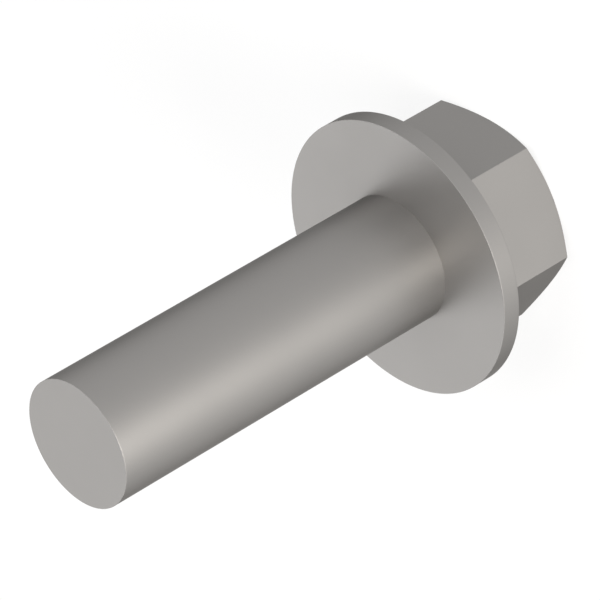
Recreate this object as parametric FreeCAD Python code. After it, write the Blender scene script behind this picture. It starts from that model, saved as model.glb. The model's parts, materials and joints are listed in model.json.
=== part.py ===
"""Hexagon flange screw, 16 mm by 50 mm, cold-forged in one piece, in millimetres.

A plain round shank with a flat, square-cut end carries a hexagon head with an integral round
flange. The flange's bearing face is flat, its rim is a short cylinder, and its back is a shallow
cone that runs up to the hexagon and blends into it with a small fillet. A cone chamfers the
corners of the hexagon at the top of the head, down to a circle as wide as the flats.

A flange screw rolls when it lies down, so it stands on the flat top of its head, with the shank
upright. The origin is the centre of the bearing face. The shank rises from it along +Z, the
flange and the head lie below it, and +X is square to one of the flats.
"""
import FreeCAD, Part
import math
import os

# Shank
shank_diameter = 16.0
shank_length = 50.0

# Flange
flange_diameter = 35.0
flange_edge_height = 2.4
flange_slope_deg = 20.0

# Hexagon head
across_flats = 24.0
head_height = 15.4
chamfer_angle_deg = 30.0
root_fillet_radius = 0.8

HEXAGON_SIDES = 6
CENTRE = FreeCAD.Vector(0, 0, 0)
TOWARDS_END = FreeCAD.Vector(0, 0, 1)
TOWARDS_HEAD = FreeCAD.Vector(0, 0, -1)


def turned(profile):
    """Return the solid that a closed profile sweeps about the axis.

    Each point of the profile is a radius and a depth below the bearing face.
    """
    points = [FreeCAD.Vector(radius, 0, -depth) for radius, depth in profile]
    face = Part.Face(Part.makePolygon(points + points[:1]))
    return face.revolve(CENTRE, TOWARDS_END, 360)


def make_shank():
    """Return the plain shank, from the bearing face to its flat end."""
    return Part.makeCylinder(shank_diameter / 2, shank_length, CENTRE, TOWARDS_END)


def make_flange():
    """Return the round flange, whose back slopes towards the axis inside the hexagon."""
    rim_radius = flange_diameter / 2
    slope = math.tan(math.radians(flange_slope_deg))
    return turned([
        (0, 0),
        (rim_radius, 0),
        (rim_radius, flange_edge_height),
        (0, flange_edge_height + rim_radius * slope),
    ])


def make_hexagon():
    """Return the hexagon prism, with its corners chamfered at the top of the head."""
    corner_radius = across_flats / 2 / math.cos(math.pi / HEXAGON_SIDES)
    corners = []
    for side in range(HEXAGON_SIDES):
        angle = 2 * math.pi * (side + 0.5) / HEXAGON_SIDES
        corners.append(FreeCAD.Vector(math.cos(angle), math.sin(angle), 0) * corner_radius)
    outline = Part.Face(Part.makePolygon(corners + corners[:1]))
    prism = outline.extrude(TOWARDS_HEAD * head_height)

    top_radius = across_flats / 2
    outer_radius = across_flats
    chamfer_depth = (outer_radius - top_radius) * math.tan(math.radians(chamfer_angle_deg))
    envelope = turned([
        (0, 0),
        (outer_radius, 0),
        (outer_radius, head_height - chamfer_depth),
        (top_radius, head_height),
        (0, head_height),
    ])
    return prism.common(envelope)


def root_edges(screw):
    """Return the edges where the flats of the hexagon meet the flange's sloping back."""
    found = []
    for edge in screw.Edges:
        faces = screw.ancestorsOfType(edge, Part.Face)
        kinds = {type(face.Surface).__name__ for face in faces}
        depth = -edge.CenterOfMass.z
        if kinds == {"Plane", "Cone"} and depth < head_height / 2:
            found.append(edge)
    return found


def make_screw():
    """Return the whole screw as one solid."""
    screw = make_flange().fuse([make_hexagon(), make_shank()]).removeSplitter()
    screw = screw.makeFillet(root_fillet_radius, root_edges(screw))
    return screw.Solids[0]


os.makedirs("parts", exist_ok=True)
make_screw().exportStep("parts/flange_screw.step")
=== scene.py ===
"""A hexagon flange screw in satin steel, standing on its head on a white studio floor.

The screw is one forged piece. Its surface follows one rule: a profile of nine corners is swept
about the axis, and from the flange's back to the top of the head the profile's radius follows
the hexagon. A node tree works that rule out. Each outer edge gets a very small radius, so that
it catches a little light, and the shank's root stays a sharp crease.
"""

import json
import logging
import math
from dataclasses import dataclass, field
from enum import Enum

import bpy
from mathutils import Matrix, Vector

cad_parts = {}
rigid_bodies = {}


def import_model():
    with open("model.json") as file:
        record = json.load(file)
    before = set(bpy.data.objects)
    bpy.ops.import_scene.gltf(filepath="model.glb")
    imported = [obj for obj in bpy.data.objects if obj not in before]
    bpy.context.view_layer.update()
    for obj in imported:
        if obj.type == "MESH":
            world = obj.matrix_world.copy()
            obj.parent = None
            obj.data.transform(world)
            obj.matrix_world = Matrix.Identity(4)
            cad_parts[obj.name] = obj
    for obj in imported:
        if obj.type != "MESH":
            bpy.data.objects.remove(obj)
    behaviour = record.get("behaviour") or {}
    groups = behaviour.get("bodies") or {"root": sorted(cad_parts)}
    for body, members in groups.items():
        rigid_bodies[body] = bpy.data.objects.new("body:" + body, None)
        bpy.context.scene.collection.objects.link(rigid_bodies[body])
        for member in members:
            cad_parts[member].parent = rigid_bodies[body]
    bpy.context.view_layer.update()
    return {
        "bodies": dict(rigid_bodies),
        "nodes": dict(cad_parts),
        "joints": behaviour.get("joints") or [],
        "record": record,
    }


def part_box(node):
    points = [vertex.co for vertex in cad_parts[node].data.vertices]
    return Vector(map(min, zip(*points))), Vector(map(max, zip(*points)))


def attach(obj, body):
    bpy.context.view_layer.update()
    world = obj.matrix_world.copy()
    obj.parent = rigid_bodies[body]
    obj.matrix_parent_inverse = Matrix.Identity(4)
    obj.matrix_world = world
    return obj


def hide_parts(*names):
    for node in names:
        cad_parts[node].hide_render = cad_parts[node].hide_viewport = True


log = logging.getLogger("flange_screw")

MM = 0.001
NODE = "flange_screw"

HEXAGON_SIDES = 6
ROUNDED_CORNERS = 7
# Rows or columns between the end of an arc and the hold beside it
HOLD_STEP = 1.0
# Whole numbers are compared half a step away, where rounding can't turn the answer
HALF_STEP = 0.5
# The most of a profile's side that an arc may take from one end, and an arc with its hold
ARC_SHARE = 0.45
HOLD_SHARE = 0.49
NOISE_MIDDLE = 0.5

Color = tuple[float, float, float]
WHITE: Color = (1.0, 1.0, 1.0)
WARM_WHITE: Color = (1.0, 0.965, 0.91)

Socket = bpy.types.NodeSocket
Sockets = bpy.types.bpy_prop_collection
Value = Socket | float | int


class Seen(Enum):
    """Which rays a light-path switch answers to."""

    CAMERA = "Is Camera Ray"
    GLOSSY = "Is Glossy Ray"
    TRANSMISSION = "Is Transmission Ray"


class Kind(Enum):
    """The type of the values that a switch chooses between."""

    NUMBER = "FLOAT"
    VECTOR = "VECTOR"


class NodeSheet:
    """A node tree that is filled in with short arithmetic calls."""

    def __init__(self, tree: bpy.types.NodeTree) -> None:
        """Keep the shader or geometry tree that the calls add to."""
        self.tree = tree

    def add(self, node_type: str, **settings: object) -> bpy.types.Node:
        """Add a node.

        Args:
            node_type: the node's type name.
            settings: the node's own properties, such as its operation.

        Returns:
            The new node.
        """
        node = self.tree.nodes.new(node_type)
        for name, value in settings.items():
            setattr(node, name, value)
        return node

    def feed(self, socket: Socket, value: object) -> None:
        """Link a socket to another one, or set its own value.

        Args:
            socket: the input to fill.
            value: an output socket, or a plain value.
        """
        if isinstance(value, Socket):
            self.tree.links.new(value, socket)
        else:
            socket.default_value = value

    def fill(self, node: bpy.types.Node, values: tuple) -> None:
        """Fill a node's first inputs with the values, in order."""
        for socket, value in zip(node.inputs, values):
            self.feed(socket, value)

    def number(self, operation: str, *values: Value) -> Socket:
        """Work out one number.

        Args:
            operation: the math node's operation.
            values: its operands, in order.

        Returns:
            The result.
        """
        node = self.add("ShaderNodeMath", operation=operation)
        self.fill(node, values)
        return node.outputs[0]

    def total(self, first: Value, *others: Value) -> Socket:
        """Add numbers up.

        Args:
            first: the first number.
            others: the numbers that are added to it.

        Returns:
            The sum.
        """
        for other in others:
            first = self.number("ADD", first, other)
        return first

    def less(self, first: Value, second: Value) -> Socket:
        """Take the second number from the first."""
        return self.number("SUBTRACT", first, second)

    def times(self, first: Value, second: Value) -> Socket:
        """Multiply two numbers."""
        return self.number("MULTIPLY", first, second)

    def over(self, first: Value, second: Value) -> Socket:
        """Divide the first number by the second."""
        return self.number("DIVIDE", first, second)

    def least(self, first: Value, second: Value) -> Socket:
        """Choose the smaller of two numbers."""
        return self.number("MINIMUM", first, second)

    def most(self, first: Value, second: Value) -> Socket:
        """Choose the larger of two numbers."""
        return self.number("MAXIMUM", first, second)

    def ramp(self, count: Value, start: Value, length: Value, span: Value) -> Socket:
        """Grow from 0 to a span while a count passes a stretch of the given start and length."""
        share = self.over(self.less(count, start), length)
        return self.times(self.most(self.least(share, 1.0), 0.0), span)

    def vector(self, operation: str, *values: Socket) -> Socket:
        """Work out one vector.

        Args:
            operation: the vector math node's operation.
            values: its operands, in order.

        Returns:
            The result.
        """
        node = self.add("ShaderNodeVectorMath", operation=operation)
        self.fill(node, values)
        return node.outputs["Vector"]

    def scaled(self, vector: Socket, size: Value) -> Socket:
        """Multiply a vector by a number.

        Args:
            vector: the vector.
            size: the number.

        Returns:
            The longer or shorter vector.
        """
        node = self.add("ShaderNodeVectorMath", operation="SCALE")
        self.feed(node.inputs["Vector"], vector)
        self.feed(node.inputs["Scale"], size)
        return node.outputs["Vector"]

    def measured(self, operation: str, *values: Socket) -> Socket:
        """Work out one number from vectors.

        Args:
            operation: the vector math node's operation.
            values: its operands, in order.

        Returns:
            The result.
        """
        node = self.add("ShaderNodeVectorMath", operation=operation)
        self.fill(node, values)
        return node.outputs["Value"]

    def point(self, x: Value, y: Value, z: Value) -> Socket:
        """Join three numbers into a vector.

        Args:
            x: its first number.
            y: its second number.
            z: its third number.

        Returns:
            The vector.
        """
        node = self.add("ShaderNodeCombineXYZ")
        self.fill(node, (x, y, z))
        return node.outputs[0]

    def parts(self, vector: Socket) -> list[Socket]:
        """Split a vector.

        Args:
            vector: the vector.

        Returns:
            Its three numbers.
        """
        node = self.add("ShaderNodeSeparateXYZ")
        self.feed(node.inputs[0], vector)
        return list(node.outputs)

    def either(self, test: Value, when_false: Value, when_true: Value, kind: Kind) -> Socket:
        """Choose between two values.

        Args:
            test: above zero for the second value.
            when_false: the value for a test of zero.
            when_true: the value otherwise.
            kind: the type of both values.

        Returns:
            The value chosen.
        """
        node = self.add("GeometryNodeSwitch", input_type=kind.value)
        self.fill(node, (test, when_false, when_true))
        return node.outputs[0]

    def pick(self, index: Socket, choices: list[Socket], kind: Kind) -> Socket:
        """Choose one value by number.

        Args:
            index: the number of the choice, from 0.
            choices: the values.
            kind: their type.

        Returns:
            The value chosen.
        """
        node = self.add("GeometryNodeIndexSwitch", data_type=kind.value)
        while len(node.index_switch_items) < len(choices):
            node.index_switch_items.new()
        self.fill(node, (index, *choices))
        return node.outputs[0]


def seen_by(sheet: NodeSheet, *rays: Seen) -> Socket:
    """Return a socket that is 1 for the named kinds of ray, and else 0.

    Args:
        sheet: the shader tree to add to.
        rays: the kinds of ray.

    Returns:
        The switch.
    """
    path = sheet.add("ShaderNodeLightPath")
    switch: Value = 0.0
    for ray in rays:
        switch = sheet.most(switch, path.outputs[ray.value])
    return switch


@dataclass(frozen=True)
class SatinSteel:
    """Bare steel with a smooth satin skin, warm grey.

    The edge tint darkens what the steel reflects at a glancing angle. Clouds vary the roughness
    slowly over the surface, and the grain is a very shallow bump.
    """

    color: Color = (0.262, 0.255, 0.248)
    edge_tint: Color = (0.2, 0.2, 0.2)
    roughness: float = 0.45
    roughness_swing: float = 0.03
    cloud_size: float = 9.0 * MM
    cloud_detail: float = 3.0
    grain_size: float = 0.12 * MM
    grain_detail: float = 2.0
    grain_depth: float = 0.0006 * MM

    def material(self) -> bpy.types.Material:
        """Build the finish as shader nodes on object coordinates.

        Returns:
            The material.
        """
        made = bpy.data.materials.new("satin_steel_finish")
        made.use_nodes = True
        sheet = NodeSheet(made.node_tree)
        steel = made.node_tree.nodes["Principled BSDF"]
        steel.inputs["Base Color"].default_value = (*self.color, 1.0)
        steel.inputs["Metallic"].default_value = 1.0
        steel.inputs["Specular Tint"].default_value = (*self.edge_tint, 1.0)
        place = sheet.add("ShaderNodeTexCoord").outputs["Object"]

        clouds = self.noise(sheet, place, self.cloud_size, self.cloud_detail)
        swing = sheet.less(clouds, NOISE_MIDDLE)
        rough = sheet.number("MULTIPLY_ADD", swing, 2.0 * self.roughness_swing, self.roughness)
        sheet.feed(steel.inputs["Roughness"], rough)

        grain = self.noise(sheet, place, self.grain_size, self.grain_detail)
        bump = sheet.add("ShaderNodeBump")
        sheet.feed(bump.inputs["Strength"], 1.0)
        sheet.feed(bump.inputs["Distance"], self.grain_depth)
        sheet.feed(bump.inputs["Height"], grain)
        sheet.feed(steel.inputs["Normal"], bump.outputs["Normal"])
        return made

    def noise(self, sheet: NodeSheet, place: Socket, size: float, detail: float) -> Socket:
        """Add a noise pattern.

        Args:
            sheet: the finish's tree.
            place: the coordinates that it reads.
            size: how large its features are.
            detail: how many finer layers it has.

        Returns:
            The pattern, from 0 to 1.
        """
        pattern = sheet.add("ShaderNodeTexNoise")
        sheet.feed(pattern.inputs["Vector"], place)
        sheet.feed(pattern.inputs["Scale"], 1.0 / size)
        sheet.feed(pattern.inputs["Detail"], detail)
        return pattern.outputs["Fac"]


@dataclass(frozen=True)
class StudioWhite:
    """White paint for the floor, which shows as white and keeps a pale shadow.

    The lamps light the painted part, so the shadow shows in it. The rest is white of its own, for
    the camera and for what the steel reflects.
    """

    painted: float = 0.18
    own_white: float = 0.8

    def material(self) -> bpy.types.Material:
        """Build the paint: part lit, part white of its own where it is looked at.

        Returns:
            The material.
        """
        made = bpy.data.materials.new("studio_white")
        made.use_nodes = True
        tree = made.node_tree
        tree.nodes.remove(tree.nodes["Principled BSDF"])
        sheet = NodeSheet(tree)
        paint = sheet.add("ShaderNodeBsdfDiffuse")
        paint.inputs["Color"].default_value = (self.painted, self.painted, self.painted, 1.0)
        looked_at = seen_by(sheet, Seen.CAMERA, Seen.GLOSSY, Seen.TRANSMISSION)
        glow = sheet.add("ShaderNodeEmission")
        sheet.feed(glow.inputs["Strength"], sheet.times(looked_at, self.own_white))
        both = sheet.add("ShaderNodeAddShader")
        sheet.fill(both, (paint.outputs[0], glow.outputs[0]))
        sheet.feed(tree.nodes["Material Output"].inputs["Surface"], both.outputs[0])
        return made


@dataclass(frozen=True)
class SweepGrid:
    """The flat grid that becomes the screw's surface, with each point's row and column.

    The rows run along the profile, from the middle of the shank's end to the middle of the top of
    the head. The columns run round the axis.
    """

    mesh: Socket
    row: Socket
    column: Socket
    corner_rows: Socket
    last_row: Socket
    side_columns: Socket

    @classmethod
    def laid(cls, sheet: NodeSheet, given: Sockets) -> "SweepGrid":
        """Lay the grid out.

        A rounded corner of the profile has an arc's rows and a hold on each side. A side of the
        hexagon has a corner's arc, its two holds and two halves of a flat.

        Args:
            sheet: the geometry tree.
            given: the tree's inputs.

        Returns:
            The grid.
        """
        holds = 2.0 * HOLD_STEP
        corner_rows = sheet.total(given["Arc steps"], 1.0, holds)
        last_row = sheet.total(sheet.times(corner_rows, ROUNDED_CORNERS), 1.0)
        flats = sheet.times(given["Flat steps"], 2.0)
        side_columns = sheet.total(given["Arc steps"], holds, flats)
        columns = sheet.times(side_columns, HEXAGON_SIDES)

        grid = sheet.add("GeometryNodeMeshGrid")
        sheet.feed(grid.inputs["Size X"], 1.0)
        sheet.feed(grid.inputs["Size Y"], 1.0)
        sheet.feed(grid.inputs["Vertices X"], sheet.total(last_row, 1.0))
        sheet.feed(grid.inputs["Vertices Y"], sheet.total(columns, 1.0))
        across, along, _ = sheet.parts(sheet.add("GeometryNodeInputPosition").outputs[0])
        return cls(
            mesh=grid.outputs["Mesh"],
            row=sheet.number("ROUND", sheet.times(sheet.total(across, 0.5), last_row)),
            column=sheet.number("ROUND", sheet.times(sheet.total(along, 0.5), columns)),
            corner_rows=corner_rows,
            last_row=last_row,
            side_columns=side_columns,
        )


@dataclass
class FlangeScrew:
    """The whole screw: shank, flange and hexagon head in one piece.

    Attributes:
        edge_radius: the radius of each outer edge.
        shank_root_radius: 0 keeps the root of the shank sharp.
        hold: how far past an arc the next row or column lies, which keeps the flat beside it flat.
        arc_steps: how many steps an arc has.
        flat_steps: how many steps half a flat has.
        weld_distance: how near points lie that are made one.
        crease_angle: the bend past which an edge is shaded sharp.
    """

    shank_radius: float
    shank_length: float
    flange_radius: float
    half_across_flats: float
    head_height: float
    flange_edge_height: float = 2.4 * MM
    flange_slope: float = math.radians(20.0)
    chamfer_angle: float = math.radians(30.0)
    root_fillet: float = 0.8 * MM
    edge_radius: float = 0.015 * MM
    shank_root_radius: float = 0.0
    hold: float = 0.12 * MM
    arc_steps: int = 4
    flat_steps: int = 12
    weld_distance: float = 0.0005 * MM
    crease_angle: float = math.radians(50.0)
    finish: SatinSteel = field(default_factory=SatinSteel)

    @classmethod
    def from_frame(cls, frame: dict) -> "FlangeScrew":
        """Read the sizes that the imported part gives.


        Returns:
            The screw at the part's own size.
        """
        low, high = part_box(NODE)
        mounts = {mount["name"]: mount for mount in frame["record"]["mounts"]}
        shank = mounts["shank"]["dims"]
        return cls(
            shank_radius=shank["r_mm"] * MM,
            shank_length=shank["length_mm"] * MM,
            flange_radius=high[0],
            half_across_flats=mounts["spanner_flat_a"]["pos_m"][0],
            head_height=-low[2],
        )

    def sizes(self) -> dict[str, float]:
        """Name the tree's inputs and their values.

        Returns:
            A number for each named input.
        """
        return {
            "Shank radius": self.shank_radius,
            "Shank length": self.shank_length,
            "Flange radius": self.flange_radius,
            "Flange edge height": self.flange_edge_height,
            "Flange slope": self.flange_slope,
            "Half across flats": self.half_across_flats,
            "Head height": self.head_height,
            "Chamfer angle": self.chamfer_angle,
            "Root fillet": self.root_fillet,
            "Edge radius": self.edge_radius,
            "Shank root radius": self.shank_root_radius,
            "Hold": self.hold,
            "Weld distance": self.weld_distance,
            "Crease angle": self.crease_angle,
        }

    def counts(self) -> dict[str, int]:
        """Name the tree's whole-number inputs and their values."""
        return {"Arc steps": self.arc_steps, "Flat steps": self.flat_steps}

    def tree(self, material: bpy.types.Material) -> bpy.types.NodeTree:
        """Build the node tree that sweeps the profile about the axis.

        Args:
            material: the finish that the tree sets.

        Returns:
            The tree, with a named input for each size.
        """
        tree = bpy.data.node_groups.new("screw_surface", "GeometryNodeTree")
        for name in self.sizes():
            tree.interface.new_socket(name, in_out="INPUT", socket_type="NodeSocketFloat")
        for name in self.counts():
            tree.interface.new_socket(name, in_out="INPUT", socket_type="NodeSocketInt")
        tree.interface.new_socket("Mesh", in_out="OUTPUT", socket_type="NodeSocketGeometry")
        sheet = NodeSheet(tree)
        given = sheet.add("NodeGroupInput").outputs

        grid = SweepGrid.laid(sheet, given)
        turn, hexagon_radius = self.hexagon(sheet, given, grid)
        radius, _, height = sheet.parts(self.profile(sheet, given, grid, hexagon_radius))
        east = sheet.times(radius, sheet.number("COSINE", turn))
        north = sheet.times(radius, sheet.number("SINE", turn))
        sweep = sheet.add("GeometryNodeSetPosition")
        sheet.feed(sweep.inputs["Geometry"], grid.mesh)
        sheet.feed(sweep.inputs["Position"], sheet.point(east, north, height))

        real = sheet.add("GeometryNodeRealizeInstances")
        sheet.feed(real.inputs[0], self.shaded(sheet, given, sweep.outputs[0]))
        dress = sheet.add("GeometryNodeSetMaterial")
        sheet.feed(dress.inputs["Geometry"], real.outputs[0])
        dress.inputs["Material"].default_value = material
        sheet.feed(sheet.add("NodeGroupOutput").inputs[0], dress.outputs[0])
        return tree

    def hexagon(self, sheet: NodeSheet, given: Sockets, grid: SweepGrid) -> tuple[Socket, Socket]:
        """Work out each column's angle about the axis and the hexagon's radius there.

        The columns of a side run from the middle of one flat to the middle of the next, and
        crowd round the rounded corner between them.

        Args:
            sheet: the geometry tree.
            given: the tree's inputs.
            grid: the rows and columns.

        Returns:
            The angle and the radius.
        """
        half_side = math.pi / HEXAGON_SIDES
        side = sheet.number("FLOOR", sheet.over(grid.column, grid.side_columns))
        within = sheet.less(grid.column, sheet.times(side, grid.side_columns))
        step = sheet.less(within, sheet.times(grid.side_columns, 0.5))
        count = sheet.number("ABSOLUTE", step)
        half_arc = sheet.times(given["Arc steps"], 0.5)

        flat = given["Half across flats"]
        inner = sheet.less(flat, given["Edge radius"])
        centre = sheet.over(inner, math.cos(half_side))
        tangent = sheet.times(inner, math.tan(half_side))
        arc_end = sheet.less(half_side, sheet.number("ARCTAN2", tangent, flat))
        hold_end = sheet.total(arc_end, sheet.over(given["Hold"], flat))
        off_corner = sheet.total(
            sheet.ramp(count, 0.0, half_arc, arc_end),
            sheet.ramp(count, half_arc, HOLD_STEP, sheet.less(hold_end, arc_end)),
            sheet.ramp(count, sheet.total(half_arc, HOLD_STEP), given["Flat steps"],
                       sheet.less(half_side, hold_end)),
        )
        signed = sheet.times(off_corner, sheet.number("SIGN", step))
        turn = sheet.total(sheet.times(side, 2.0 * half_side), half_side, signed)

        sideways = sheet.times(centre, sheet.number("SINE", off_corner))
        squared = sheet.less(sheet.number("POWER", given["Edge radius"], 2.0),
                             sheet.number("POWER", sideways, 2.0))
        outwards = sheet.number("SQRT", sheet.most(squared, 0.0))
        on_arc = sheet.total(sheet.times(centre, sheet.number("COSINE", off_corner)), outwards)
        off_flat = sheet.less(half_side, off_corner)
        on_flat = sheet.over(flat, sheet.number("COSINE", off_flat))
        past_arc = sheet.number("GREATER_THAN", count, sheet.less(half_arc, HALF_STEP))
        return turn, sheet.either(past_arc, on_arc, on_flat, Kind.NUMBER)

    def corners(self, sheet: NodeSheet, given: Sockets, hexagon_radius: Socket) -> list[Socket]:
        """Place the profile's corners, from the middle of the end to the middle of the top.

        Args:
            sheet: the geometry tree.
            given: the tree's inputs.
            hexagon_radius: the hexagon's radius in each column.

        Returns:
            A vector for each corner, with the radius as X and the height as Z.
        """
        shank, rim, flat = given["Shank radius"], given["Flange radius"], given["Half across flats"]
        end = given["Shank length"]
        slope = sheet.number("TANGENT", given["Flange slope"])
        back_rise = sheet.times(sheet.less(rim, hexagon_radius), slope)
        root_depth = sheet.total(given["Flange edge height"], back_rise)
        steepness = sheet.number("TANGENT", given["Chamfer angle"])
        chamfer_rise = sheet.times(sheet.less(hexagon_radius, flat), steepness)
        top = sheet.times(given["Head height"], -1.0)
        return [
            sheet.point(0.0, 0.0, end),
            sheet.point(shank, 0.0, end),
            sheet.point(shank, 0.0, 0.0),
            sheet.point(rim, 0.0, 0.0),
            sheet.point(rim, 0.0, sheet.times(given["Flange edge height"], -1.0)),
            sheet.point(hexagon_radius, 0.0, sheet.times(root_depth, -1.0)),
            sheet.point(hexagon_radius, 0.0, sheet.total(top, chamfer_rise)),
            sheet.point(flat, 0.0, top),
            sheet.point(0.0, 0.0, top),
        ]

    def profile(self, sheet: NodeSheet, given: Sockets, grid: SweepGrid,
                hexagon_radius: Socket) -> Socket:
        """Place each row on the profile, with the profile's corners rounded.

        Args:
            sheet: the geometry tree.
            given: the tree's inputs.
            grid: the rows and columns.
            hexagon_radius: the hexagon's radius in each column.

        Returns:
            A vector with the radius as X and the height as Z.
        """
        corners = self.corners(sheet, given, hexagon_radius)
        edge = given["Edge radius"]
        radii = [edge, given["Shank root radius"], edge, edge, given["Root fillet"], edge, edge]

        inside = sheet.most(sheet.less(grid.row, 1.0), 0.0)
        passed = sheet.number("FLOOR", sheet.over(inside, grid.corner_rows))
        corner = sheet.least(passed, ROUNDED_CORNERS - 1)
        within = sheet.less(inside, sheet.times(corner, grid.corner_rows))
        middle = sheet.times(sheet.less(grid.corner_rows, 1.0), 0.5)
        place = self.round_corner(
            sheet, given,
            step=sheet.less(within, middle),
            radius=sheet.pick(corner, radii, Kind.NUMBER),
            before=sheet.pick(corner, corners[:-2], Kind.VECTOR),
            here=sheet.pick(corner, corners[1:-1], Kind.VECTOR),
            after=sheet.pick(corner, corners[2:], Kind.VECTOR),
        )
        at_end = sheet.number("LESS_THAN", grid.row, HALF_STEP)
        at_top = sheet.number("GREATER_THAN", grid.row, sheet.less(grid.last_row, HALF_STEP))
        place = sheet.either(at_end, place, corners[0], Kind.VECTOR)
        return sheet.either(at_top, place, corners[-1], Kind.VECTOR)

    def round_corner(self, sheet: NodeSheet, given: Sockets, step: Socket, radius: Socket,
                     before: Socket, here: Socket, after: Socket) -> Socket:
        """Place a row on one rounded corner, on its arc or on the hold at either side.

        Args:
            sheet: the geometry tree.
            given: the tree's inputs.
            step: the row's number, counted from the middle of the arc.
            radius: the arc's radius, which is less where a side is short.
            before: the corner before this one.
            here: this corner.
            after: the corner after this one.

        Returns:
            The row's place.
        """
        to_before = sheet.vector("SUBTRACT", before, here)
        to_after = sheet.vector("SUBTRACT", after, here)
        room_before = sheet.measured("LENGTH", to_before)
        room_after = sheet.measured("LENGTH", to_after)
        back = sheet.vector("NORMALIZE", to_before)
        ahead = sheet.vector("NORMALIZE", to_after)
        cosine = sheet.measured("DOT_PRODUCT", back, ahead)
        half_angle = sheet.times(sheet.number("ARCCOSINE", cosine), 0.5)
        tangent = sheet.number("TANGENT", half_angle)

        room = sheet.times(sheet.least(room_before, room_after), ARC_SHARE)
        reach = sheet.least(sheet.over(radius, tangent), room)
        true_radius = sheet.times(reach, tangent)
        inwards = sheet.vector("NORMALIZE", sheet.vector("ADD", back, ahead))
        onwards = sheet.vector("NORMALIZE", sheet.vector("SUBTRACT", ahead, back))
        to_centre = sheet.over(reach, sheet.number("COSINE", half_angle))
        centre = sheet.vector("ADD", here, sheet.scaled(inwards, to_centre))
        half_arc = sheet.times(given["Arc steps"], 0.5)
        half_sweep = sheet.less(math.pi / 2, half_angle)
        angle = sheet.times(sheet.over(step, half_arc), half_sweep)
        along = sheet.times(true_radius, sheet.number("SINE", angle))
        out = sheet.times(true_radius, sheet.number("COSINE", angle))
        beside = sheet.vector("ADD", centre, sheet.scaled(onwards, along))
        on_arc = sheet.vector("SUBTRACT", beside, sheet.scaled(inwards, out))

        past_arc = sheet.total(reach, given["Hold"])
        hold_back = sheet.least(past_arc, sheet.times(room_before, HOLD_SHARE))
        hold_ahead = sheet.least(past_arc, sheet.times(room_after, HOLD_SHARE))
        held_back = sheet.vector("ADD", here, sheet.scaled(back, hold_back))
        held_ahead = sheet.vector("ADD", here, sheet.scaled(ahead, hold_ahead))
        forward = sheet.number("GREATER_THAN", step, 0.0)
        held = sheet.either(forward, held_back, held_ahead, Kind.VECTOR)
        distance = sheet.number("ABSOLUTE", step)
        off_arc = sheet.number("GREATER_THAN", distance, sheet.total(half_arc, HALF_STEP))
        return sheet.either(off_arc, on_arc, held, Kind.VECTOR)

    def shaded(self, sheet: NodeSheet, given: Sockets, surface: Socket) -> Socket:
        """Close the seam and the poles, and shade the surface smooth but for its crease.

        Args:
            sheet: the geometry tree.
            given: the tree's inputs.
            surface: the swept grid.

        Returns:
            The closed surface.
        """
        weld = sheet.add("GeometryNodeMergeByDistance")
        sheet.feed(weld.inputs["Geometry"], surface)
        sheet.feed(weld.inputs["Distance"], given["Weld distance"])
        smooth = sheet.add("GeometryNodeSetShadeSmooth")
        sheet.feed(smooth.inputs["Geometry"], weld.outputs[0])
        bend = sheet.add("GeometryNodeInputMeshEdgeAngle").outputs["Unsigned Angle"]
        is_sharp = sheet.number("GREATER_THAN", bend, given["Crease angle"])
        crease = sheet.add("GeometryNodeSetShadeSmooth", domain="EDGE")
        sheet.feed(crease.inputs["Geometry"], smooth.outputs[0])
        sheet.feed(crease.inputs["Selection"], is_sharp)
        sheet.feed(crease.inputs["Shade Smooth"], False)
        return crease.outputs[0]

    def build(self) -> bpy.types.Object:
        """Make the screw's mesh with the tree and dress it.

        Returns:
            The finished piece, a plain mesh.
        """
        material = self.finish.material()
        blank = bpy.data.objects.new("screw_blank", bpy.data.meshes.new("screw_blank"))
        bpy.context.scene.collection.objects.link(blank)
        sweep = blank.modifiers.new("screw_surface", "NODES")
        sweep.node_group = self.tree(material)
        values = {**self.sizes(), **self.counts()}
        for item in sweep.node_group.interface.items_tree:
            if item.in_out == "INPUT":
                sweep[item.identifier] = values[item.name]
        ready = blank.evaluated_get(bpy.context.evaluated_depsgraph_get())
        mesh = bpy.data.meshes.new_from_object(ready)
        bpy.data.objects.remove(blank)
        mesh.name = "forged_screw"
        mesh.materials.clear()
        mesh.materials.append(material)
        screw = bpy.data.objects.new("forged_screw", mesh)
        bpy.context.scene.collection.objects.link(screw)
        return screw


@dataclass(frozen=True)
class SoftLamp:
    """A rectangular studio lamp that faces the middle of the bearing face, at the origin."""

    name: str
    azimuth: float
    elevation: float
    width: float
    height: float
    power: float
    color: Color = WHITE
    distance: float = 1.0

    def build(self) -> bpy.types.Object:
        """Hang the lamp.

        Returns:
            The lamp.
        """
        data = bpy.data.lights.new(self.name, "AREA")
        data.shape = "RECTANGLE"
        data.size = self.width
        data.size_y = self.height
        data.energy = self.power
        data.color = self.color
        lamp = bpy.data.objects.new(self.name, data)
        bpy.context.scene.collection.objects.link(lamp)
        away = away_from(self.azimuth, self.elevation)
        lamp.location = away * self.distance
        lamp.rotation_euler = (-away).to_track_quat("-Z", "Y").to_euler()
        return lamp


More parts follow.
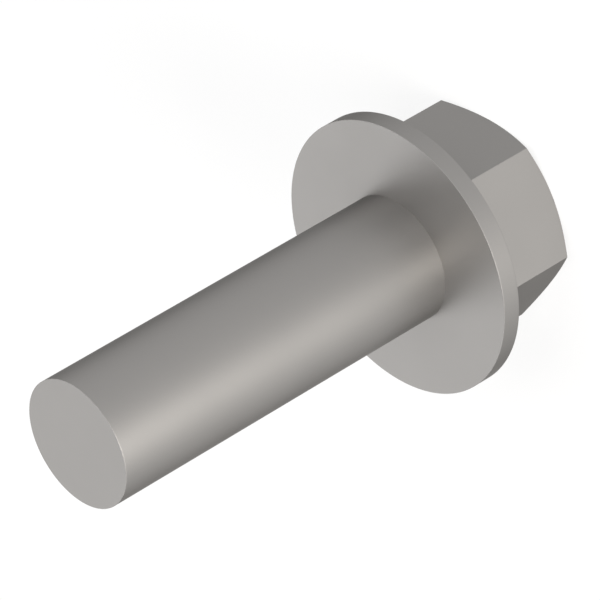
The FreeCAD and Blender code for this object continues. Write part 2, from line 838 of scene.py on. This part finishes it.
@dataclass(frozen=True)
class Studio:
    """A white floor, a surround that shows as white, and soft lamps."""

    floor_height: float
    floor_radius: float = 4.0
    floor_sides: int = 64
    paint: StudioWhite = field(default_factory=StudioWhite)
    lamps: tuple[SoftLamp, ...] = (
        SoftLamp("key_softbox", -51.0, 12.0, width=0.6, height=0.42, power=21.0, color=WARM_WHITE),
        SoftLamp("top_softbox", 15.8, 55.0, width=0.5, height=0.5, power=5.0),
        SoftLamp("right_panel", 86.0, 30.0, width=0.9, height=0.5, power=5.8),
        SoftLamp("left_panel", -124.0, 30.0, width=0.9, height=0.5, power=6.3),
        SoftLamp("back_softbox", 165.8, 30.0, width=0.5, height=0.5, power=1.35),
    )

    def build(self) -> None:
        """Lay the floor, set the surround and hang the lamps."""
        self.build_floor()
        self.build_surround()
        for lamp in self.lamps:
            lamp.build()

    def build_floor(self) -> None:
        """Lay a round floor under the screw."""
        rim = []
        for side in range(self.floor_sides):
            angle = 2.0 * math.pi * side / self.floor_sides
            rim.append((self.floor_radius * math.cos(angle), self.floor_radius * math.sin(angle),
                        self.floor_height))
        mesh = bpy.data.meshes.new("floor")
        mesh.from_pydata(rim, [], [tuple(range(self.floor_sides))])
        mesh.materials.append(self.paint.material())
        floor = bpy.data.objects.new("floor", mesh)
        bpy.context.scene.collection.objects.link(floor)

    def build_surround(self) -> None:
        """Make the surround white where it is looked at, with no other light from it."""
        world = bpy.data.worlds.new("studio")
        world.use_nodes = True
        bpy.context.scene.world = world
        sheet = NodeSheet(world.node_tree)
        background = world.node_tree.nodes["Background"]
        background.inputs["Color"].default_value = (*WHITE, 1.0)
        looked_at = seen_by(sheet, Seen.CAMERA, Seen.GLOSSY, Seen.TRANSMISSION)
        sheet.feed(background.inputs["Strength"], looked_at)


@dataclass(frozen=True)
class PhotoCamera:
    """The photograph's camera, which is rolled well over to its side."""

    azimuth: float = -14.164
    elevation: float = 33.946
    roll: float = -120.21
    distance: float = 574.1 * MM
    aim: tuple[float, float, float] = (1.354 * MM, -0.342 * MM, 14.616 * MM)
    lens: float = 300.27
    sensor_width: float = 36.0
    nearest: float = 0.01
    farthest: float = 20.0

    def build(self) -> bpy.types.Object:
        """Set the camera up and make it the scene's own.

        Returns:
            The camera.
        """
        data = bpy.data.cameras.new("camera")
        data.lens = self.lens
        data.sensor_width = self.sensor_width
        data.clip_start = self.nearest
        data.clip_end = self.farthest
        camera = bpy.data.objects.new("camera", data)
        bpy.context.scene.collection.objects.link(camera)
        away = away_from(self.azimuth, self.elevation)
        level = (-away).to_track_quat("-Z", "Y").to_matrix().to_4x4()
        rolled = level @ Matrix.Rotation(math.radians(self.roll), 4, "Z")
        camera.matrix_world = Matrix.Translation(Vector(self.aim) + away * self.distance) @ rolled
        bpy.context.scene.camera = camera
        return camera


def away_from(azimuth: float, elevation: float) -> Vector:
    """Return the unit direction from the screw to something round it.

    Args:
        azimuth: degrees round the screw, 0 in front of it, at -Y, and 90 at +X.
        elevation: degrees above the floor.

    Returns:
        The direction.
    """
    turn, lift = math.radians(azimuth), math.radians(elevation)
    return Vector((math.sin(turn) * math.cos(lift), -math.cos(turn) * math.cos(lift), math.sin(lift)))


def main() -> None:
    """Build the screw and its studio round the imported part."""
    logging.basicConfig(level=logging.INFO, format="%(message)s")
    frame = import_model()
    bpy.context.scene.view_settings.view_transform = "Standard"

    camera = PhotoCamera().build()
    log.info("camera: %.0f mm lens", camera.data.lens)

    screw = FlangeScrew.from_frame(frame).build()
    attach(screw, "root")
    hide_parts(NODE)
    log.info("%s: %d faces", screw.name, len(screw.data.polygons))

    low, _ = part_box(NODE)
    Studio(floor_height=low[2]).build()
    log.info("studio: floor at %.1f mm", low[2] / MM)


if __name__ == "__main__":
    main()
